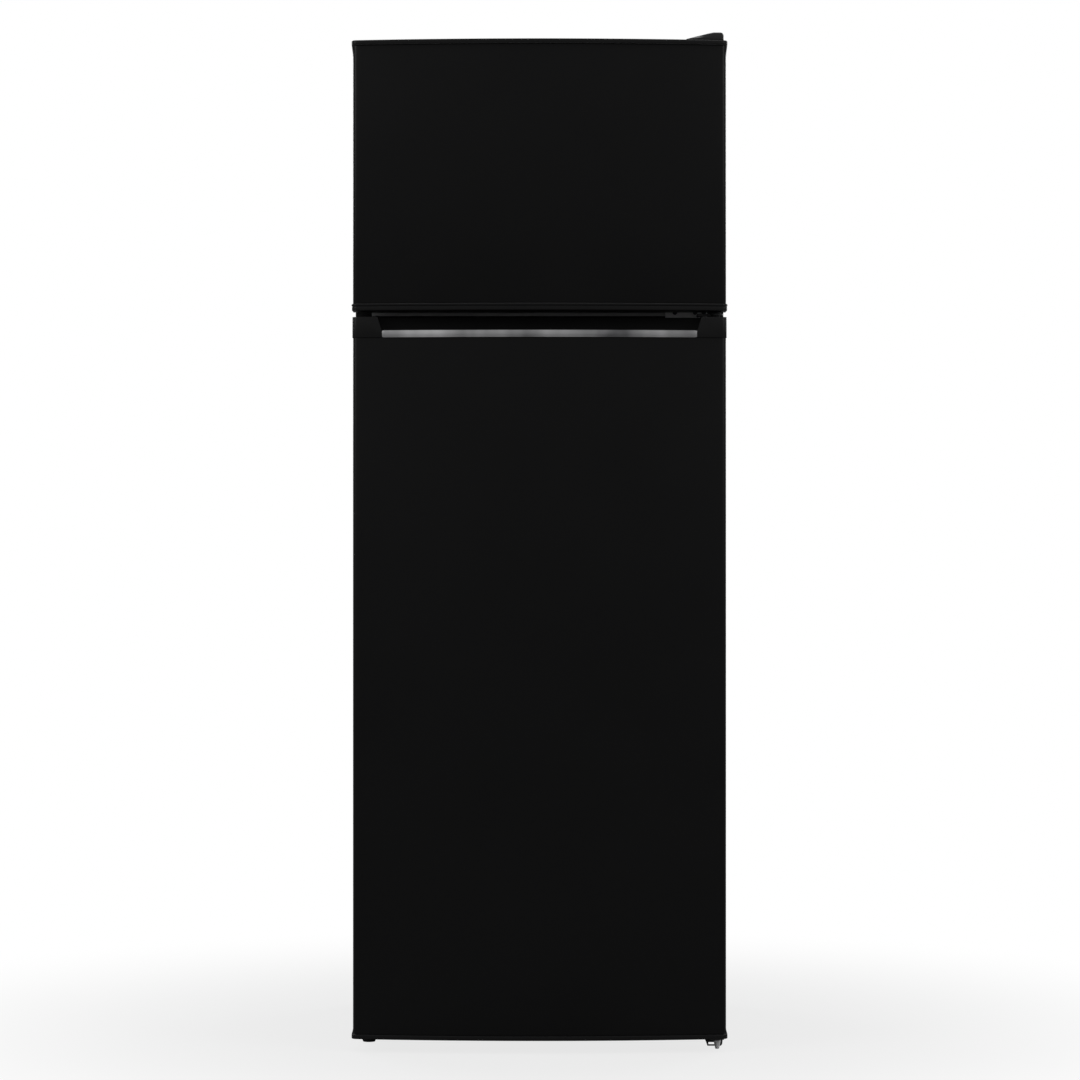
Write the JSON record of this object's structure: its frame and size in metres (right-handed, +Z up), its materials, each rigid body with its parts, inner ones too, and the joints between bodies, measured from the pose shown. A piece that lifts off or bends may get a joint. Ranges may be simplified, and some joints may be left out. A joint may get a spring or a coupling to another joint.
{
  "type": "top freezer refrigerator",
  "caption": "Free-standing top freezer refrigerator with bowed doors hinged on the right, a metal grip strip on the fridge door, door bins, glass shelves and a crisper drawer.",
  "frame": {"origin": "on the floor, below the centre of the whole outline", "axes": "+Z up, +X to the right seen from the front, the doors face -Y"},
  "size_m": [0.551, 0.5755, 1.4941],
  "materials": {
    "cabinet_black": "satin",
    "galvanised": "satin",
    "insulation": "matte",
    "white_liner": "satin",
    "dark_metal": "satin",
    "zinc": "satin",
    "black_plastic": "satin",
    "door_steel": "satin",
    "bright_metal": "polished",
    "gasket_rubber": "matte",
    "shelf_glass": "gloss",
    "white_plastic": "satin",
    "clear_plastic": "gloss",
    "evaporator_aluminium": "satin",
    "compressor_black": "gloss",
    "copper_tube": "satin",
    "knob_grey": "satin"
  },
  "bodies": {
    "cabinet": {"left_side_panel": "cabinet_black", "right_side_panel": "cabinet_black", "top_panel": "cabinet_black", "rear_panel": "galvanised", "bottom_panel": "galvanised", "compressor_rail": "galvanised", "foam_body": "insulation", "freezer_liner": "white_liner", "fridge_liner": "white_liner", "front_frame": "dark_metal", "mullion_rail": "dark_metal", "top_hinge_bracket": "zinc", "top_hinge_cover": "black_plastic", "middle_hinge_bracket": "dark_metal", "lower_hinge_bracket": "dark_metal", "hinge_screws": "dark_metal", "freezer_shelf": "shelf_glass", "shelf_lower": "shelf_glass", "shelf_middle": "shelf_glass", "shelf_upper": "shelf_glass", "crisper_cover": "shelf_glass", "shelf_trims": "white_plastic", "control_housing": "white_plastic", "lamp_cover": "clear_plastic", "led_lamp": "white_plastic", "evaporators": "evaporator_aluminium", "compressor": "compressor_black", "compressor_grommets": "gasket_rubber", "relay_cover": "black_plastic", "drain_pan": "black_plastic", "refrigerant_lines": "copper_tube", "condenser": "compressor_black", "rear_spacers": "black_plastic", "roller_axles": "zinc"},
    "freezer_door": {"freezer_door_skin": "door_steel", "freezer_door_foam": "insulation", "freezer_door_liner": "white_liner", "freezer_door_gasket": "gasket_rubber", "freezer_top_trim": "black_plastic", "freezer_bottom_trim": "black_plastic", "freezer_bin_lower": "clear_plastic", "freezer_bin_upper": "clear_plastic", "freezer_hinge_bushes": "white_plastic"},
    "fridge_door": {"fridge_door_skin": "door_steel", "fridge_door_foam": "insulation", "fridge_door_liner": "white_liner", "fridge_door_gasket": "gasket_rubber", "handle_trim": "black_plastic", "handle_strip": "bright_metal", "fridge_bottom_trim": "black_plastic", "bottle_bin": "clear_plastic", "fridge_bin_middle": "clear_plastic", "fridge_bin_upper": "clear_plastic", "fridge_hinge_bushes": "white_plastic"},
    "crisper": {"crisper_drawer": "clear_plastic"},
    "knob": {"thermostat_knob": "knob_grey"},
    "left_foot": {"foot_left": "black_plastic"},
    "right_foot": {"foot_right": "zinc"},
    "left_roller": {"roller_left": "black_plastic"},
    "right_roller": {"roller_right": "black_plastic"}
  },
  "joints": [
    {"name": "freezer_door_hinge", "type": "hinge", "parent": "cabinet", "child": "freezer_door", "pos_m": [0.261, -0.246, 1.2], "axis": [0, 0, 1], "range_deg": [0, 130]},
    {"name": "fridge_door_hinge", "type": "hinge", "parent": "cabinet", "child": "fridge_door", "pos_m": [0.261, -0.246, 0.5], "axis": [0, 0, 1], "range_deg": [0, 130]},
    {"name": "crisper_slide", "type": "slide", "parent": "cabinet", "child": "crisper", "axis": [0, -1, 0], "range_m": [0, 0.12]},
    {"name": "knob_turn", "type": "hinge", "parent": "cabinet", "child": "knob", "pos_m": [0, -0.07, 1.041], "axis": [0, -1, 0], "range_deg": [0, 300]},
    {"name": "left_foot_turn", "type": "hinge", "parent": "cabinet", "child": "left_foot", "pos_m": [-0.255, -0.16, 0.02], "axis": [0, 0, 1], "continuous": true},
    {"name": "right_foot_turn", "type": "hinge", "parent": "cabinet", "child": "right_foot", "pos_m": [0.262, -0.231, 0.01], "axis": [0, 0, 1], "continuous": true},
    {"name": "left_roller_spin", "type": "hinge", "parent": "cabinet", "child": "left_roller", "pos_m": [-0.235, 0.222, 0.011], "axis": [1, 0, 0], "continuous": true},
    {"name": "right_roller_spin", "type": "hinge", "parent": "cabinet", "child": "right_roller", "pos_m": [0.235, 0.222, 0.011], "axis": [1, 0, 0], "continuous": true}
  ],
  "couplings": [
    {"joint": "crisper_slide", "follows": "fridge_door_hinge", "m_per_rad": 0.0525}
  ]
}
